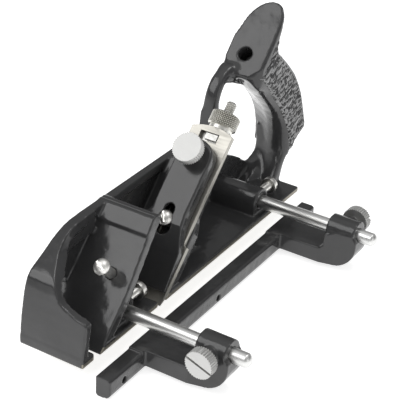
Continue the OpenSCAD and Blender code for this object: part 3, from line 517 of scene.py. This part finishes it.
def make_pebbles():
    """The pebbled panel on the grip's near side, darker in the gaps: painted shade, from a less
    reflective enamel there.
    """
    points, index = panel_points()
    faces, gaps = [], []
    for i, k in index:
        corners = [(i, k), (i, k + 1), (i + 1, k + 1), (i + 1, k)]
        if all(c in index for c in corners):
            faces.append([index[c] for c in corners])
            x, y, z = points[index[i, k]]
            low = y < GRIP_SIDE + GAP_HEIGHT
            gaps.append(int(low and border_distance(x, z) > GAP_BORDER))
    # the gaps get the less reflective enamel, painted shade; the rest the glossier pebble enamel
    panel = mesh_of("grip_pebbles", points, faces, PEBBLE_SHEEN_ENAMEL, GAP_SHADE_ENAMEL)
    panel.data.polygons.foreach_set("material_index", gaps)
    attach(panel, "plane_body")


# Adjuster: the cutter's edge, and the stud's axis across the plane and below the cutter's face
EDGE_X, EDGE_Z = 39.9, -0.35
LINE_Y = 4.1
STUD_W = -8.0

# Stud and nut: places up the seat from the cutter's edge, and radii
STUD_TOP, STUD_END, STUD_R = 116.0, 70.2, 2.8
STUD_ROWS, STUD_ROW, STUD_STEPS = 258, 0.11, 40
NECK_U, NECK_R = 92.7, 4.7
WAIST_U, WAIST_R = 94.6, 3.9
COLLAR_U, COLLAR_R = 96.8, 7
NUT_U, NUT_L, NUT_R = 100.9, 8.0, 8.0
NUT_ROWS = 44

# Knurl and thread: count or start, pitch and depth, and the depth where the painted shade of the
# grooves begins
KNURL_COUNT, KNURL_PITCH, KNURL_DEPTH, KNURL_SHADE_DEPTH = 34, 1.5, 0.7, 0.3
THREAD_START, THREAD_PITCH, THREAD_DEPTH, THREAD_SHADE_DEPTH = 87, 1.1, 0.36, 0.24


def on_seat(u, across, off):
    """A point u up the cutter's face from its edge, and off that face."""
    c, s = math.cos(SEAT), math.sin(SEAT)
    return (EDGE_X - u * c + off * s, across, EDGE_Z + u * s + off * c)


def lathe(name, rings, steps, shape, material, groove):
    """A round piece on the stud's axis, from rings of place along it and radius.

    The shape says how deep each point is cut. Faces deeper than the groove get a darker colour,
    painted shade in the grooves.
    """
    points, faces, deep = [], [], []
    for u, radius in rings:
        for k in range(steps):
            angle = 2 * math.pi * k / steps
            r = radius - shape(u, angle)
            points.append(on_seat(u, LINE_Y + r * math.cos(angle), STUD_W + r * math.sin(angle)))
    for row in range(len(rings) - 1):
        for k in range(steps):
            a, b = row * steps + k, row * steps + (k + 1) % steps
            faces.append((a, b, b + steps, a + steps))
            middle = (rings[row][0] + rings[row + 1][0]) / 2
            # faces cut deep into the knurl or thread take the dark groove colour, painted shade
            deep.append(int(shape(middle, 2 * math.pi * (k + 0.5) / steps) > groove))
    piece = mesh_of(name, points, faces, material, GROOVE_PAINTED_SHADE)
    piece.data.polygons.foreach_set("material_index", deep)
    return piece


def wave(value):
    """A triangle wave from 0 to 1."""
    return abs((value % 1.0) - 0.5) * 2


def diamond(u, angle):
    """Depth of the nut's diamond knurl."""
    if not NUT_U + 0.75 <= u <= NUT_U + NUT_L - 0.75:
        return 0.0
    turns = KNURL_COUNT * angle / (2 * math.pi)
    ridge = min(wave(turns + u / KNURL_PITCH), wave(turns - u / KNURL_PITCH))
    return KNURL_DEPTH * (1 - min(1.0, 1.5 * ridge))


def thread(u, angle):
    """Depth of the stud's thread."""
    if not THREAD_START < u < STUD_TOP - 0.9:
        return 0.0
    return THREAD_DEPTH * wave(u / THREAD_PITCH + angle / (2 * math.pi))


def make_nut():
    """The knurled nut: neck, waist, collar and grip, turned from one profile."""
    bore, top = STUD_R + 0.06, NUT_U + NUT_L
    rings = [(NECK_U, bore), (NECK_U, NECK_R), (NECK_U + 0.15, NECK_R + 0.1),
             (WAIST_U - 0.2, NECK_R + 0.1), (WAIST_U - 0.05, NECK_R), (WAIST_U, WAIST_R),
             (COLLAR_U - 0.05, WAIST_R), (COLLAR_U, COLLAR_R - 0.2), (COLLAR_U + 0.15, COLLAR_R),
             (COLLAR_U + 1.55, COLLAR_R), (COLLAR_U + 1.7, COLLAR_R - 0.15),
             (COLLAR_U + 1.8, COLLAR_R - 0.5), (NUT_U, COLLAR_R - 0.5), (NUT_U, COLLAR_R + 0.1),
             (NUT_U + 0.7, NUT_R - 0.1), (NUT_U + 0.76, NUT_R)]
    rings += [(NUT_U + 0.78 + (NUT_L - 1.56) * k / NUT_ROWS, NUT_R) for k in range(NUT_ROWS + 1)]
    rings += [(top - 0.76, NUT_R), (top - 0.7, NUT_R - 0.1), (top - 0.08, COLLAR_R),
              (top, COLLAR_R - 0.15), (top, 4.6), (top - 0.25, 4.3), (top - 0.25, 3.4),
              (top - 0.5, bore), (NECK_U, bore)]
    nut = lathe("nut", rings, 8 * KNURL_COUNT, diamond, KNURL, KNURL_SHADE_DEPTH)
    nut.data.set_sharp_from_angle(angle=math.radians(40))
    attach(nut, "nut")
    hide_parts("adjuster_nut")


def make_stud():
    """The threaded stud that the nut turns on."""
    rings = [(STUD_TOP, 0.01), (STUD_TOP, 1.9), (STUD_TOP - 0.12, 2.1), (STUD_TOP - 0.8, STUD_R)]
    rings += [(STUD_TOP - 0.85 - STUD_ROW * k, STUD_R) for k in range(STUD_ROWS)]
    rings += [(STUD_END, STUD_R), (STUD_END, 0.01)]
    stud = lathe("stud", rings, STUD_STEPS, thread, STUD, THREAD_SHADE_DEPTH)
    stud.data.set_sharp_from_angle(angle=math.radians(55))
    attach(stud, "plane_body")
    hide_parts("adjuster_stud")


# All pieces: castings, pebbles and turned pieces anew, and the rest as the solids are
make_body()
make_castings()
make_pebbles()
make_nut()
make_stud()
soften("cutter", 0.2 * MM, CUTTER)
soften("adjuster_slide", 0.2 * MM, LUG)
soften("depth_stop", 0.5 * MM, BLACK)
soften("spur", 0.1 * MM, CUTTER)
for rod in ("front_fence_rod", "rear_fence_rod"):
    soften(rod, 0.3 * MM, ROD)
for screw in ("main_fulcrum_screw", "front_rod_lock_screw", "rear_rod_lock_screw",
              "spur_screw", "depth_stop_washer"):
    soften(screw, 0.25 * MM, NICKEL)
# the bullnose screw takes the lighter nickel, a painted sheen
soften("bullnose_fulcrum_screw", 0.25 * MM, SHEEN_NICKEL)
for knob in ("lever_cap_thumbscrew", "front_fence_thumbscrew", "rear_fence_thumbscrew",
             "depth_stop_screw"):
    soften(knob, 0.12 * MM, KNOB)


# Stage and light
FLOOR_Z = CAD_BOX[0][2] - 0.2 * MM
FLOOR_SIZE = 4.0
FLOOR_GLOW = 0.76
LIT_POINT = Vector((0, 0, 0.04))


def add_stage():
    """A pale floor, lit a little from below as on a light table."""
    build = bmesh.new()
    bmesh.ops.create_grid(build, x_segments=8, y_segments=8, size=FLOOR_SIZE)
    bmesh.ops.translate(build, verts=build.verts, vec=(0, 0, FLOOR_Z))
    mesh = bpy.data.meshes.new("floor")
    build.to_mesh(mesh)
    build.free()
    shader = Shader("floor", (0.8, 0.8, 0.8), roughness=0.9, Specular_IOR_Level=0.1)
    shader.colors(shader.noise(4, 2), (0.79, 0.79, 0.79), (0.81, 0.81, 0.81))
    shader.set("Emission Color", (1, 1, 1, 1))
    shader.set("Emission Strength", FLOOR_GLOW)
    new_object("floor", mesh, shader.material)


def add_light(name, toward, distance, size, radiance):
    """A soft rectangular light that faces the part and looks equally bright all over."""
    data = bpy.data.lights.new(name, "AREA")
    data.shape = "RECTANGLE"
    data.size, data.size_y = size
    data.energy = radiance * math.pi * size[0] * size[1]
    lamp = bpy.data.objects.new(name, data)
    away = Vector(toward).normalized()
    lamp.location = LIT_POINT + away * distance
    lamp.rotation_euler = away.to_track_quat("Z", "Y").to_euler()
    bpy.context.scene.collection.objects.link(lamp)


def add_world():
    """Pale up to the horizon, darker above it, and pale again overhead."""
    world = bpy.data.worlds.new("world")
    world.use_nodes = True
    nodes, links = world.node_tree.nodes, world.node_tree.links
    place = nodes.new("ShaderNodeTexCoord")
    height = nodes.new("ShaderNodeSeparateXYZ")
    ramp = nodes.new("ShaderNodeValToRGB")
    ramp.color_ramp.elements[0].position = 0.12
    ramp.color_ramp.elements[0].color = (0.85, 0.85, 0.85, 1)
    ramp.color_ramp.elements[1].position = 0.26
    ramp.color_ramp.elements[1].color = (0.2, 0.2, 0.2, 1)
    for position, level in ((0.6, 0.3), (0.76, 0.42), (0.95, 0.8)):
        ramp.color_ramp.elements.new(position).color = (level, level, level, 1)
    links.new(place.outputs["Generated"], height.inputs["Vector"])
    links.new(height.outputs["Z"], ramp.inputs["Fac"])
    links.new(ramp.outputs["Color"], nodes["Background"].inputs["Color"])
    bpy.context.scene.world = world


bpy.context.scene.view_settings.view_transform = "Standard"
add_stage()
add_world()
add_light("key", (0.55, -0.44, 0.72), 1.2, (0.85, 0.65), 2.6)
add_light("top", (-0.25, 0.25, 1.0), 1.3, (0.5, 0.35), 4)
add_light("side", (0.25, 1.0, 0.35), 1.4, (0.35, 0.6), 1.5)
